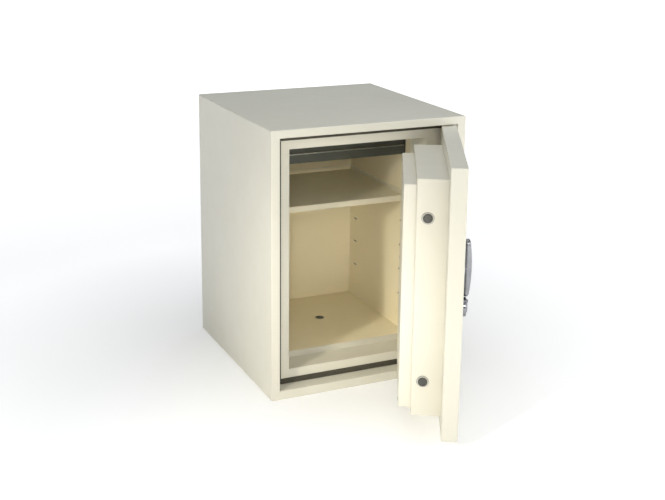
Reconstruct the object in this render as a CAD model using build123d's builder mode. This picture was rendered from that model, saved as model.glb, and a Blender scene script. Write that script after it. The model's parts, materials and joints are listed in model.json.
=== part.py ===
from build123d import *
import math
import os

os.makedirs("parts", exist_ok=True)

# Fire-resistant document safe with a three-step door, standing on its base.
# Row frame: X to the right, +Y from the front to the back, +Z up; the origin is the centre of the base.
# The door is modelled open by door_open degrees; its own frame is (s, n, z): s runs from the hinge axis
# to the free edge, n is the outward normal of the door's face, z is up.

# ---------------------------------------------------------------- driving dimensions (mm)
width, depth, height = 500.0, 510.0, 648.0
case_t = 2.0                       # outer sheet
rim_x = 228.4                      # half width inside the front rim
rim_z0, rim_z1 = 22.0, 629.0       # rim opening, bottom and top
recess_d = 37.5                    # depth of the first recess
seal_w, seal_t = 14.2, 1.5         # heat seal strip
open_x0, open_x1 = -190.4, 162.0   # throat opening
open_z0, open_z1 = 57.8, 594.2
throat_d = 103.0                   # depth of the second step
cav_x0, cav_x1 = -182.0, 160.0     # document space
cav_z0, cav_z1 = 73.0, 579.0
cav_d = 442.0
liner_t = 1.5
back_d = 506.0                     # back panel, front face

door_open = 62.7
pivot_x, pivot_d = 220.0, 7.0      # hinge axis
pin_r, pin_play = 3.5, 0.06

plate_t = 35.4                     # door pan thickness
pan_s0, pan_s1 = -6.0, 445.7
pan_z0, pan_z1 = 25.0, 626.4
mid_t = 66.0                       # middle step
mid_s0, mid_s1, mid_s1b = 63.5, 401.0, 396.5
mid_z0, mid_z1 = 61.4, 591.1
in_t = 27.2                        # inner step
in_s0, in_s1, in_s1b = 90.0, 389.0, 386.8
in_z0, in_z1 = 75.3, 576.5
n0 = pivot_d                       # outer face
n1 = n0 - plate_t
n2 = n1 - mid_t
n3 = n2 - in_t

bolt_r, bolt_n, bolt_end = 10.0, -70.0, 403.4
bolt_z = (141.0, 507.0)
throw = 20.0
spindle_s, spindle_z = 345.0, 384.0
lock_z = 295.5
plate_up, bar_in, bar_out, bar_len = 3.0, 9.0, 20.5, 130.0   # handle backplate and bar, above the door's face
lock_up = 13.6                                                 # key lock's collar
cam_reach = throw / 2 / math.sin(math.radians(45))
lock_throw = 13.0
crank_reach = lock_throw / 2 / math.sin(math.radians(45))

shelf_z, shelf_d0, shelf_d1 = 429.0, 133.0, 438.0
slot_d = (145.0, 409.0)
slot_z = (164.0, 230.0, 294.0, 358.0, 421.0)
hole_d, hole_r = 286.0, 11.0

front_y = -depth / 2
c, s_ = math.cos(math.radians(door_open)), math.sin(math.radians(door_open))
u = Vector(-c, -s_, 0)
n = Vector(s_, -c, 0)
pivot = Vector(pivot_x, front_y + pivot_d, 0)


def front(d):
    """Plane at depth d behind the front, local (x, z); a negative extrusion goes deeper."""
    return Plane(origin=(0, front_y + d, 0), x_dir=(1, 0, 0), z_dir=(0, -1, 0))


def side(x):
    """Plane at x, local (y, z); a positive extrusion goes to +X."""
    return Plane(origin=(x, 0, 0), x_dir=(0, 1, 0), z_dir=(1, 0, 0))


def door_level(z):
    """Horizontal plane in the door's frame, local (s, n)."""
    return Plane(origin=pivot + Vector(0, 0, z), x_dir=u, z_dir=(0, 0, 1))


def door_face(level):
    """Plane parallel to the door's face at n = level, local (z, s); a positive extrusion goes outwards."""
    return Plane(origin=pivot + n * level, x_dir=(0, 0, 1), z_dir=n)


def door_edge(reach):
    """Plane across the door at s = reach, local (z, -n); a positive extrusion goes to the free edge."""
    return Plane(origin=pivot + u * reach, x_dir=(0, 0, 1), z_dir=u)


door = door_level(0)
along_n = Axis(origin=(0, 0, 0), direction=tuple(n))


def rect(a0, b0, a1, b1, mode=Mode.ADD):
    """Rectangle by two corners in the current sketch."""
    with Locations(((a0 + a1) / 2, (b0 + b1) / 2)):
        Rectangle(abs(a1 - a0), abs(b1 - b0), mode=mode)


# ---------------------------------------------------------------- body: casing and panels
with BuildPart() as outer_casing:
    with BuildSketch(front(0)):
        with Locations((0, height / 2)):
            RectangleRounded(width, height, 3.0)
    extrude(amount=-depth)
    fillet(outer_casing.faces().sort_by(Axis.Y)[0].edges(), radius=1.8)
    with BuildSketch(front(case_t)):
        rect(-width / 2 + case_t, -5, width / 2 - case_t, height - case_t)
    extrude(amount=-depth, mode=Mode.SUBTRACT)
    with BuildSketch(front(case_t)):
        rect(-rim_x - case_t, rim_z0 - case_t, rim_x + case_t, rim_z1 + case_t)
    extrude(amount=-(recess_d - case_t))
    with BuildSketch(front(-1)):
        rect(-rim_x, rim_z0, rim_x, rim_z1)
    extrude(amount=-(recess_d + 5), mode=Mode.SUBTRACT)
    fillet(
        outer_casing.edges()
        .filter_by_position(Axis.Y, front_y - 0.01, front_y + 0.01)
        .filter_by_position(Axis.X, -rim_x - 0.1, rim_x + 0.1)
        .filter_by_position(Axis.Z, rim_z0 - 0.1, rim_z1 + 0.1),
        radius=1.2,
    )
    with BuildSketch(Plane.XY.offset(rim_z0 - case_t - 1)):
        with Locations((pivot.X, pivot.Y)):
            Circle(pin_r)
    extrude(amount=rim_z1 - rim_z0 + 2 * case_t + 2, mode=Mode.SUBTRACT)
outer_casing.part.label = "outer_casing"

with BuildPart() as base_plate:
    with BuildSketch(Plane.XY):
        rect(-width / 2 + case_t, front_y + case_t, width / 2 - case_t, front_y + back_d)
    extrude(amount=14)
    with BuildSketch(Plane.XY.offset(2.5)):
        rect(-width / 2 + 2 * case_t, front_y + 2 * case_t, width / 2 - 2 * case_t, front_y + back_d - case_t)
    extrude(amount=20, mode=Mode.SUBTRACT)
    with BuildSketch(Plane.XY.offset(-1)):
        with Locations((0, front_y + hole_d)):
            Circle(hole_r + 1.5)
    extrude(amount=5, mode=Mode.SUBTRACT)
    with BuildSketch(Plane.XY.offset(2.5)):
        rect(203.5, front_y + case_t, 240.5, front_y + 8)
    extrude(amount=14, mode=Mode.SUBTRACT)
base_plate.part.label = "base_plate"

with BuildPart() as back_panel:
    with BuildSketch(front(back_d)):
        rect(-width / 2 + case_t, 0, width / 2 - case_t, height - case_t)
    extrude(amount=-2)
    # shallow pressed field that stiffens the sheet
    with BuildSketch(front(back_d + 1.2)):
        with Locations((0, height / 2)):
            RectangleRounded(width - 110, height - 120, 20)
    extrude(amount=-1.0, mode=Mode.SUBTRACT)
    with BuildSketch(front(back_d - 1)):
        with Locations(*[(x, z) for x in (-238, 0, 238) for z in (26, 324, 632) if (x, z) != (0, 324)]):
            Circle(2.0)
    extrude(amount=-5, mode=Mode.SUBTRACT)
back_panel.part.label = "back_panel"

with BuildPart() as back_screws:
    with BuildSketch(front(back_d - 12)):
        with Locations(*[(x, z) for x in (-238, 0, 238) for z in (26, 324, 632) if (x, z) != (0, 324)]):
            Circle(2.0)
    extrude(amount=-14)
    with BuildSketch(front(back_d + 2)):
        with Locations(*[(x, z) for x in (-238, 0, 238) for z in (26, 324, 632) if (x, z) != (0, 324)]):
            Circle(4.5)
    extrude(amount=-1.8)
    with BuildSketch(front(back_d + 3.0)):
        with Locations(*[(x, z) for x in (-238, 0, 238) for z in (26, 324, 632) if (x, z) != (0, 324)]):
            Rectangle(5.6, 1.1)
            Rectangle(1.1, 5.6)
    extrude(amount=-2, mode=Mode.SUBTRACT)
back_screws.part.label = "back_screws"

# ---------------------------------------------------------------- stepped throat and liner
dog_z0, dog_z1 = 130.0, 520.0
with BuildPart() as throat_frame:
    with BuildSketch(front(recess_d)):
        rect(-rim_x - case_t, rim_z0 - case_t, rim_x + case_t, rim_z1 + case_t)
    extrude(amount=-2)
    with BuildSketch(front(recess_d)):
        rect(open_x0 - 2, open_z0 - 2, open_x1 + 2, open_z1 + 2)
    extrude(amount=-(throat_d + 2 - recess_d))
    with BuildSketch(front(recess_d - 1)):
        rect(open_x0, open_z0, open_x1, open_z1)
    extrude(amount=-(throat_d - recess_d + 1), mode=Mode.SUBTRACT)
    with BuildSketch(front(throat_d - 1)):
        rect(cav_x0, cav_z0, cav_x1, cav_z1)
    extrude(amount=-5, mode=Mode.SUBTRACT)
    # bolt holes in the free-side jamb, long slot for the dog bar in the hinge-side jamb
    with BuildSketch(side(open_x0 - 5)):
        with Locations(*[(front_y + n0 - bolt_n, z) for z in bolt_z]):
            Circle(bolt_r + 1.0)
    extrude(amount=6, mode=Mode.SUBTRACT)
    with BuildSketch(side(open_x1 - 1)):
        rect(front_y + 62, dog_z0 - 3, front_y + 88, dog_z1 + 3)
    extrude(amount=5, mode=Mode.SUBTRACT)
throat_frame.part.label = "throat_frame"

with BuildPart() as inner_liner:
    with BuildSketch(front(throat_d + 2)):
        rect(cav_x0 - liner_t, cav_z0 - liner_t, cav_x1 + liner_t, cav_z1 + liner_t)
    extrude(amount=-(cav_d + liner_t - throat_d - 2))
    with BuildSketch(front(throat_d)):
        rect(cav_x0, cav_z0, cav_x1, cav_z1)
    extrude(amount=-(cav_d - throat_d), mode=Mode.SUBTRACT)
    with BuildSketch(side(cav_x0 - 5)):
        with Locations(*[(front_y + d, z) for d in slot_d for z in slot_z]):
            SlotOverall(20, 5)
    extrude(amount=cav_x1 - cav_x0 + 10, mode=Mode.SUBTRACT)
    with BuildSketch(Plane.XY.offset(cav_z0 - 5)):
        with Locations((0, front_y + hole_d)):
            Circle(hole_r + 1.5)
    extrude(amount=8, mode=Mode.SUBTRACT)
inner_liner.part.label = "inner_liner"

with BuildPart() as keeper_plate:
    with BuildSketch(side(open_x0 - 8)):
        rect(front_y + 54, 104, front_y + 99, 544)
    extrude(amount=6)
    with BuildSketch(side(open_x0 - 9)):
        with Locations(*[(front_y + n0 - bolt_n, z) for z in bolt_z]):
            Circle(bolt_r + 1.0)
    extrude(amount=10, mode=Mode.SUBTRACT)
keeper_plate.part.label = "keeper_plate"

with BuildPart() as anchor_sleeve:
    with BuildSketch(Plane.XY):
        with Locations((0, front_y + hole_d)):
            Circle(hole_r + 1.5)
            Circle(hole_r, mode=Mode.SUBTRACT)
    extrude(amount=cav_z0)
anchor_sleeve.part.label = "anchor_sleeve"

with BuildPart() as body_hinge_blocks:
    for z0, z1 in ((4.0, rim_z0 - case_t), (rim_z1 + case_t, height - case_t - 1)):
        with BuildSketch(Plane.XY.offset(z0)):
            rect(204, front_y + 2.2, 240, front_y + 34)
            with Locations((pivot.X, pivot.Y)):
                Circle(pin_r, mode=Mode.SUBTRACT)
        extrude(amount=z1 - z0)
body_hinge_blocks.part.label = "body_hinge_blocks"

with BuildPart() as hinge_pins:
    for z0, z1 in ((4.0, pan_z0 + 24), (pan_z1 - 24, height - case_t - 1)):
        with BuildSketch(Plane.XY.offset(z0)):
            with Locations((pivot.X, pivot.Y)):
                Circle(pin_r)
        extrude(amount=z1 - z0)
    chamfer(hinge_pins.edges().filter_by(GeomType.CIRCLE).filter_by_position(Axis.Z, 40, 610), 0.6)
hinge_pins.part.label = "hinge_pins"

with BuildPart() as hinge_washers:
    for z0, z1 in ((rim_z0, pan_z0 - 0.2), (pan_z1 + 0.4, rim_z1)):
        with BuildSketch(Plane.XY.offset(z0)):
            with Locations((pivot.X, pivot.Y)):
                Circle(6.5)
                Circle(pin_r + 0.06, mode=Mode.SUBTRACT)
        extrude(amount=z1 - z0)
hinge_washers.part.label = "hinge_washers"

with BuildPart() as door_seal:
    with BuildSketch(front(recess_d - seal_t)):
        rect(-rim_x, rim_z0, rim_x, rim_z1)
        rect(-rim_x + seal_w, rim_z0 + seal_w, rim_x - seal_w, rim_z1 - seal_w, mode=Mode.SUBTRACT)
    extrude(amount=-seal_t)
door_seal.part.label = "door_seal"

with BuildPart() as body_insulation:
    with BuildSketch(front(case_t)):
        rect(-width / 2 + case_t, 2.5, width / 2 - case_t, height - case_t)
    extrude(amount=-(back_d - case_t))
    with BuildSketch(front(0)):
        rect(-rim_x - case_t, rim_z0 - case_t, rim_x + case_t, rim_z1 + case_t)
    extrude(amount=-(recess_d + 2), mode=Mode.SUBTRACT)
    with BuildSketch(front(recess_d)):
        rect(open_x0 - 2, open_z0 - 2, open_x1 + 2, open_z1 + 2)
    extrude(amount=-(throat_d + 2 - recess_d), mode=Mode.SUBTRACT)
    with BuildSketch(front(throat_d)):
        rect(cav_x0 - liner_t, cav_z0 - liner_t, cav_x1 + liner_t, cav_z1 + liner_t)
    extrude(amount=-(cav_d + liner_t - throat_d), mode=Mode.SUBTRACT)
    # base flanges, sleeve, keeper plate, bolt pockets, dog pocket, hinge blocks, shelf hooks, back screws
    with BuildSketch(Plane.XY.offset(2.5)):
        rect(-width / 2, front_y, width / 2, front_y + depth)
        rect(-width / 2 + 2 * case_t, front_y + 2 * case_t, width / 2 - 2 * case_t, front_y + back_d - case_t, mode=Mode.SUBTRACT)
    extrude(amount=11.5, mode=Mode.SUBTRACT)
    with BuildSketch(Plane.XY):
        with Locations((0, front_y + hole_d)):
            Circle(hole_r + 1.5)
    extrude(amount=cav_z0 + 5, mode=Mode.SUBTRACT)
    with BuildSketch(side(open_x0 - 8)):
        rect(front_y + 54, 104, front_y + 99, 544)
    extrude(amount=8, mode=Mode.SUBTRACT)
    with BuildSketch(side(open_x0 - 20)):
        with Locations(*[(front_y + n0 - bolt_n, z) for z in bolt_z]):
            Circle(bolt_r + 1.5)
    extrude(amount=20, mode=Mode.SUBTRACT)
    with BuildSketch(side(open_x1)):
        rect(front_y + 62, dog_z0 - 3, front_y + 88, dog_z1 + 3)
    extrude(amount=9, mode=Mode.SUBTRACT)
    with BuildSketch(Plane.XY):
        rect(203.5, front_y, 240.5, front_y + 34.5)
    extrude(amount=height, mode=Mode.SUBTRACT)
    with BuildSketch(side(cav_x0 - 12)):
        with Locations(*[(front_y + d, z) for d in slot_d for z in slot_z]):
            SlotOverall(24, 10)
    extrude(amount=cav_x1 - cav_x0 + 24, mode=Mode.SUBTRACT)
    with BuildSketch(front(back_d - 13)):
        with Locations(*[(x, z) for x in (-238, 0, 238) for z in (26, 324, 632) if (x, z) != (0, 324)]):
            Circle(2.5)
    extrude(amount=-20, mode=Mode.SUBTRACT)
body_insulation.part.label = "body_insulation"

# ---------------------------------------------------------------- shelf and filing rails
with BuildPart() as shelf:
    x0, x1 = cav_x0 + 2, cav_x1 - 2
    with BuildSketch(side(x0)):
        with BuildLine():
            Polyline(
                (front_y + shelf_d0, shelf_z - 14.5),
                (front_y + shelf_d0, shelf_z),
                (front_y + shelf_d1, shelf_z),
                (front_y + shelf_d1, shelf_z + 10),
                (front_y + shelf_d1 - 1.5, shelf_z + 10),
                (front_y + shelf_d1 - 1.5, shelf_z - 1.5),
                (front_y + shelf_d0 + 1.5, shelf_z - 1.5),
                (front_y + shelf_d0 + 1.5, shelf_z - 13),
                (front_y + shelf_d0 + 5, shelf_z - 13),
                (front_y + shelf_d0 + 5, shelf_z - 14.5),
                close=True,
            )
        make_face()
    extrude(amount=x1 - x0)
    with BuildSketch(Plane.XY.offset(shelf_z)):
        rect(x0, front_y + shelf_d0 + 14, x0 + 1.5, front_y + shelf_d1)
        rect(x1 - 1.5, front_y + shelf_d0 + 14, x1, front_y + shelf_d1)
    extrude(amount=10)
    fillet(
        shelf.edges().filter_by(Axis.X)
        .filter_by_position(Axis.Y, front_y + shelf_d0 - 0.1, front_y + shelf_d0 + 0.1),
        radius=1.2,
    )
    with BuildSketch(front(shelf_d0 - 1)):
        with Locations((x0 + 7, shelf_z - 7), (x1 - 7, shelf_z - 7)):
            Circle(1.8)
    extrude(amount=-4, mode=Mode.SUBTRACT)
shelf.part.label = "shelf"

with BuildPart() as shelf_clips:
    for d in slot_d:
        for wall, into in ((cav_x0, 1), (cav_x1, -1)):
            with BuildSketch(front(d - 7)):
                rect(wall, shelf_z - 14, wall + 1.5 * into, shelf_z - 2.5)
                rect(wall, shelf_z - 3.5, wall + 12 * into, shelf_z - 1.5)
            extrude(amount=-14)
            with BuildSketch(front(d - 7)):
                rect(wall, shelf_z - 10, wall - 5 * into, shelf_z - 7)
                rect(wall - 2.0 * into, shelf_z - 12, wall - 4 * into, shelf_z - 7)
            extrude(amount=-14)
shelf_clips.part.label = "shelf_clips"

rail_z0, rail_z1 = 535.0, 559.0
rail_d = (133.0, 418.0)
with BuildPart() as filing_rails:
    for d in rail_d:
        with BuildSketch(side(cav_x0 + 4)):
            with BuildLine():
                Polyline(
                    (front_y + d, rail_z0), (front_y + d, rail_z1 - 3), (front_y + d + 4.0, rail_z1 - 3),
                    (front_y + d + 4.0, cav_z1 - 0.5), (front_y + d + 6.0, cav_z1 - 0.5), (front_y + d + 6.0, rail_z1 - 5),
                    (front_y + d + 2, rail_z1 - 5), (front_y + d + 2, rail_z0 + 2), (front_y + d + 14, rail_z0 + 2),
                    (front_y + d + 14, rail_z0),
                    close=True,
                )
            make_face()
            with Locations((front_y + d + 2.6, rail_z1 - 2.6)):
                Circle(2.6)
        extrude(amount=cav_x1 - cav_x0 - 8)
filing_rails.part.label = "filing_rails"

with BuildPart() as rail_brackets:
    for d in rail_d:
        for wall, into in ((cav_x0, 1), (cav_x1, -1)):
            with BuildSketch(front(d)):
                rect(wall, rail_z0, wall + 2 * into, cav_z1)
            extrude(amount=-24)
            with BuildSketch(front(d + 6)):
                rect(wall, rail_z1 - 8, wall + 20 * into, cav_z1)
            extrude(amount=-2)
            with BuildSketch(front(d + 6)):
                rect(wall, cav_z1 - 2, wall + 20 * into, cav_z1)
            extrude(amount=-18)
rail_brackets.part.label = "rail_brackets"

# ---------------------------------------------------------------- door: pan, steps and filling
with BuildPart() as door_pan:
    with BuildSketch(door_level(pan_z0)):
        with BuildLine():
            Polyline(
                (pan_s0 + 6.5, n0), (pan_s1, n0), (pan_s1, n1), (pan_s0 + 4, n1), (pan_s0, n1 + 4), (pan_s0, n0 - 6.5),
            )
            RadiusArc((pan_s0, n0 - 6.5), (pan_s0 + 6.5, n0), 6.5)
        make_face()
    extrude(amount=pan_z1 - pan_z0)
    fillet(
        door_pan.edges().filter_by(Axis.Z).sort_by(Axis(origin=(0, 0, 0), direction=tuple(u)))[-2:],
        radius=2.0,
    )
    with BuildSketch(door_level(pan_z0 + 2)):
        with BuildLine():
            Polyline(
                (pan_s0 + 6.5, n0 - 2), (pan_s1 - 2, n0 - 2), (pan_s1 - 2, n1 + 2), (pan_s0 + 4.9, n1 + 2),
                (pan_s0 + 2, n1 + 4.9), (pan_s0 + 2, n0 - 6.5),
            )
            RadiusArc((pan_s0 + 2, n0 - 6.5), (pan_s0 + 6.5, n0 - 2), 4.5)
        make_face()
    extrude(amount=pan_z1 - pan_z0 - 4, mode=Mode.SUBTRACT)
    with BuildSketch(door_face(n1 - 1)):
        rect(mid_z0 + 8, mid_s0 + 8, mid_z1 - 8, mid_s1 - 10)
    extrude(amount=6, mode=Mode.SUBTRACT)
    with BuildSketch(door_face(n0 - 4)):
        with Locations((spindle_z, spindle_s)):
            Circle(9.0)
        with Locations((lock_z, spindle_s)):
            Circle(11.0)
    extrude(amount=8, mode=Mode.SUBTRACT)
    with BuildSketch(door_level(pan_z0 - 1)):
        Circle(pin_r + 0.3)
    extrude(amount=pan_z1 - pan_z0 + 2, mode=Mode.SUBTRACT)
door_pan.part.label = "door_pan"

with BuildPart() as door_hinge_blocks:
    for z0 in (pan_z0 + 2, pan_z1 - 2 - 30):
        with BuildSketch(door_level(z0)):
            with BuildLine():
                Polyline(
                    (pan_s0 + 4, 2), (22, 2), (22, n1 + 2), (pan_s0 + 4.9, n1 + 2), (pan_s0 + 2, n1 + 4.9),
                    (pan_s0 + 2, 0), close=True,
                )
            make_face()
            Circle(pin_r + pin_play, mode=Mode.SUBTRACT)
        extrude(amount=30)
door_hinge_blocks.part.label = "door_hinge_blocks"

with BuildPart() as door_insulation:
    with BuildSketch(door_level(pan_z0 + 2)):
        rect(pan_s0 + 8, n0 - 2, pan_s1 - 2, n1 + 2)
    extrude(amount=pan_z1 - pan_z0 - 4)
    for z0 in (pan_z0, pan_z1 - 33):
        with BuildSketch(door_level(z0)):
            rect(-10, n0, 22.5, n1)
        extrude(amount=33, mode=Mode.SUBTRACT)
    with BuildSketch(door_face(n1)):
        with Locations((spindle_z, spindle_s)):
            Circle(9.0)
        with Locations((lock_z, spindle_s)):
            Circle(11.0)
    extrude(amount=plate_t, mode=Mode.SUBTRACT)
    with BuildSketch(door_face(n0 - 10)):
        rect(lock_z - 45, spindle_s - 45, lock_z + 145, spindle_s + 45)
    extrude(amount=5, mode=Mode.SUBTRACT)
door_insulation.part.label = "door_insulation"

with BuildPart() as hard_plate:
    with BuildSketch(door_face(n0 - 10)):
        rect(lock_z - 45, spindle_s - 45, lock_z + 145, spindle_s + 45)
        with Locations((spindle_z, spindle_s)):
            Circle(9.0, mode=Mode.SUBTRACT)
        with Locations((lock_z, spindle_s)):
            Circle(11.0, mode=Mode.SUBTRACT)
    extrude(amount=5)
hard_plate.part.label = "hard_plate"

with BuildPart() as mechanism_plate:
    with BuildSketch(door_face(n1 - 3)):
        rect(mid_z0 + 3, mid_s0 + 3, mid_z1 - 3, mid_s1 - 4)
        with Locations((spindle_z, spindle_s)):
            Circle(9.0, mode=Mode.SUBTRACT)
        with Locations((lock_z, spindle_s)):
            Circle(11.0, mode=Mode.SUBTRACT)
    extrude(amount=3)
mechanism_plate.part.label = "mechanism_plate"

with BuildPart() as mid_step_casing:
    with BuildSketch(door_level(mid_z0)):
        with BuildLine():
            Polyline((mid_s0, n1), (mid_s1, n1), (mid_s1b, n2), (mid_s0 + 2, n2), close=True)
        make_face()
    extrude(amount=mid_z1 - mid_z0)
    fillet(mid_step_casing.edges().filter_by(Axis.Z).sort_by(along_n)[:2], radius=2.5)
    fillet(mid_step_casing.faces().sort_by(along_n)[0].edges().filter_by(Axis(origin=(0, 0, 0), direction=tuple(u))), radius=1.5)
    with BuildSketch(door_level(mid_z0 + 2)):
        with BuildLine():
            Polyline((mid_s0 + 2, n1 + 1), (mid_s1 - 2, n1 + 1), (mid_s1b - 2, n2 + 2), (mid_s0 + 4, n2 + 2), close=True)
        make_face()
    extrude(amount=mid_z1 - mid_z0 - 4, mode=Mode.SUBTRACT)
    with BuildSketch(door_edge(mid_s1b - 6)):
        with Locations(*[(z, -bolt_n) for z in bolt_z]):
            Circle(bolt_r + 0.4)
    extrude(amount=14, mode=Mode.SUBTRACT)
    with BuildSketch(door_edge(mid_s0 - 2)):
        rect(dog_z0, 62, dog_z1, 78)
    extrude(amount=6, mode=Mode.SUBTRACT)
mid_step_casing.part.label = "mid_step_casing"

screw_zs = [(z, s) for z in (in_z0 + 14, (in_z0 + in_z1) / 2, in_z1 - 14) for s in (in_s0 + 14, (in_s0 + in_s1b) / 2, in_s1b - 14)
            if (z, s) != ((in_z0 + in_z1) / 2, (in_s0 + in_s1b) / 2)]
with BuildPart() as inner_step_casing:
    with BuildSketch(door_level(in_z0)):
        with BuildLine():
            Polyline((in_s0, n2), (in_s1, n2), (in_s1b, n3), (in_s0 + 1, n3), close=True)
        make_face()
    extrude(amount=in_z1 - in_z0)
    fillet(inner_step_casing.edges().filter_by(Axis.Z).sort_by(along_n)[:2], radius=3.0)
    fillet(inner_step_casing.faces().sort_by(along_n)[0].edges().filter_by(Axis(origin=(0, 0, 0), direction=tuple(u))), radius=1.5)
    with BuildSketch(door_level(in_z0 + 2)):
        with BuildLine():
            Polyline((in_s0 + 2, n2 + 1), (in_s1 - 2, n2 + 1), (in_s1b - 2, n3 + 2), (in_s0 + 3, n3 + 2), close=True)
        make_face()
    extrude(amount=in_z1 - in_z0 - 4, mode=Mode.SUBTRACT)
    with BuildSketch(door_face(n3 - 1)):
        with Locations(*screw_zs):
            Circle(2.0)
    extrude(amount=5, mode=Mode.SUBTRACT)
inner_step_casing.part.label = "inner_step_casing"

with BuildPart() as inner_step_board:
    with BuildSketch(door_level(in_z0 + 3)):
        with BuildLine():
            Polyline((in_s0 + 4, n2), (in_s1 - 3, n2), (in_s1b - 3, n3 + 2), (in_s0 + 5, n3 + 2), close=True)
        make_face()
    extrude(amount=in_z1 - in_z0 - 6)
    with BuildSketch(door_face(n3 - 1)):
        with Locations(*screw_zs):
            Circle(2.2)
    extrude(amount=in_t + 5, mode=Mode.SUBTRACT)
inner_step_board.part.label = "inner_step_board"

with BuildPart() as step_screws:
    with BuildSketch(door_face(n3)):
        with Locations(*screw_zs):
            Circle(2.0)
    extrude(amount=20)
    with BuildSketch(door_face(n3)):
        with Locations(*screw_zs):
            Circle(4.2)
    extrude(amount=-0.9)
    with BuildSketch(door_face(n3 - 2)):
        with Locations(*screw_zs):
            Rectangle(5.0, 1.0)
            Rectangle(1.0, 5.0)
    extrude(amount=1.7, mode=Mode.SUBTRACT)
step_screws.part.label = "step_screws"

with BuildPart() as dog_bar:
    with BuildSketch(door_level(dog_z0)):
        with BuildLine():
            Polyline((57, -62), (76, -62), (76, -78), (57, -78), (54.5, -75.5), (54.5, -64.5), close=True)
        make_face()
    extrude(amount=dog_z1 - dog_z0)
dog_bar.part.label = "dog_bar"

# ---------------------------------------------------------------- door: bolt work
with BuildPart() as bolt_collars:
    face_s = mid_s1 - (mid_s1 - mid_s1b) * (n1 - bolt_n) / mid_t
    lean = math.degrees(math.atan((mid_s1 - mid_s1b) / mid_t))
    for z in bolt_z:
        with BuildSketch(door_edge(face_s - 8)):
            with Locations((z, -bolt_n)):
                Circle(12.6)
                Circle(bolt_r + 0.35, mode=Mode.SUBTRACT)
        extrude(amount=9.8)
    # the collar's flange follows the leaning face of the step: cut away what lies inside the casing wall
    with BuildSketch(door_level(0)):
        with BuildLine():
            Polyline((300, n1), (mid_s1, n1), (mid_s1b, n2), (300, n2), close=True)
        make_face()
    extrude(amount=height, mode=Mode.SUBTRACT)
bolt_collars.part.label = "bolt_collars"

bar_s0, bar_s1 = 362.0, 370.0
guide_z = (188.0, 462.0)
with BuildPart() as bolt_bar:
    with BuildSketch(door_level(121)):
        rect(bar_s0, -58, bar_s1, -82)
    extrude(amount=406)
    with BuildSketch(door_face(-65)):
        rect(355, 322, 420, bar_s0)
        rect(327, 332, 355, 338)
        for z in guide_z:
            rect(z - 12, 312, z + 12, bar_s0)
        rect(spindle_z + 10 - 3.8, spindle_s - throw / 2 - 3.75, spindle_z + cam_reach + 3.8, spindle_s - throw / 2 + 3.75, mode=Mode.SUBTRACT)
        for z in guide_z:
            with Locations((z, spindle_s - throw / 2)):
                SlotOverall(throw + 8.6 + 0.6, 8.6, rotation=90, mode=Mode.SUBTRACT)
    extrude(amount=5)
bolt_bar.part.label = "bolt_bar"

with BuildPart() as bolts:
    for z in bolt_z:
        with BuildSketch(door_edge(bar_s1)):
            with Locations((z, -bolt_n)):
                Circle(bolt_r)
        extrude(amount=bolt_end - bar_s1)
    chamfer(bolts.faces().sort_by(Axis(origin=(0, 0, 0), direction=tuple(u)))[-2:].edges(), 1.6)
bolts.part.label = "bolts"

with BuildPart() as guide_studs:
    for z in guide_z:
        with BuildSketch(door_face(n1 - 3)):
            with Locations((z, spindle_s)):
                Circle(4)
        extrude(amount=-(-65.6 - (n1 - 3)) * -1)
        with BuildSketch(door_face(-69)):
            with Locations((z, spindle_s)):
                RegularPolygon(7.5, 6)
        extrude(amount=3.4)
        with BuildSketch(door_face(-59.6)):
            with Locations((z, spindle_s)):
                Circle(8)
        extrude(amount=59.6 - 31.4)
guide_studs.part.label = "guide_studs"

with BuildPart() as spindle_bush:
    with BuildSketch(door_face(n1 - 3)):
        with Locations((spindle_z, spindle_s)):
            Circle(9)
            Circle(6.06, mode=Mode.SUBTRACT)
    extrude(amount=n0 - n1 + 3)
spindle_bush.part.label = "spindle_bush"

with BuildPart() as spindle:
    with BuildSketch(door_face(-56)):
        with Locations((spindle_z, spindle_s)):
            Circle(6)
    extrude(amount=56 + n0 + bar_out - 5)
spindle.part.label = "spindle"

with BuildPart() as cam_disc:
    with BuildSketch(door_face(-55.5)):
        with Locations((spindle_z, spindle_s)):
            Circle(20)
            Circle(6, mode=Mode.SUBTRACT)
    extrude(amount=6)
    with BuildSketch(door_face(-49.5)):
        with Locations((spindle_z, spindle_s)):
            Circle(11)
            Circle(6, mode=Mode.SUBTRACT)
    extrude(amount=12)
    with BuildSketch(door_face(-67.5)):
        with Locations((spindle_z + throw / 2, spindle_s - throw / 2)):
            Circle(3)
    extrude(amount=12)
cam_disc.part.label = "cam_disc"

# ---------------------------------------------------------------- door: handle
with BuildPart() as handle_backplate:
    with BuildSketch(door_face(n0)):
        with Locations((361.5, spindle_s)):
            RectangleRounded(180, 56, 22)
        with Locations((spindle_z, spindle_s)):
            Circle(10.0, mode=Mode.SUBTRACT)
        with Locations((lock_z, spindle_s)):
            Circle(11.0, mode=Mode.SUBTRACT)
    extrude(amount=plate_up)
    fillet(handle_backplate.faces().sort_by(along_n)[-1].outer_wire().edges(), radius=1.5)
handle_backplate.part.label = "handle_backplate"

with BuildPart() as handle_lever:
    with BuildSketch(door_face(n0 + bar_in)):
        with Locations((spindle_z, spindle_s)):
            SlotOverall(bar_len, 24)
    extrude(amount=bar_out - bar_in)
    fillet(handle_lever.faces().sort_by(along_n)[-1].edges(), radius=7.0)
    fillet(handle_lever.faces().sort_by(along_n)[0].edges(), radius=2.5)
    with BuildSketch(door_face(n0 + plate_up + 0.3)) as hub_foot:
        with Locations((spindle_z, spindle_s)):
            Circle(19)
    with BuildSketch(door_face(n0 + bar_in + 3)) as hub_top:
        with Locations((spindle_z, spindle_s)):
            Circle(11.5)
    loft(sections=[hub_foot.sketch, hub_top.sketch])
    with BuildSketch(door_face(n0)):
        with Locations((spindle_z, spindle_s)):
            Circle(6)
    extrude(amount=bar_out - 5, mode=Mode.SUBTRACT)
handle_lever.part.label = "handle_lever"

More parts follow.
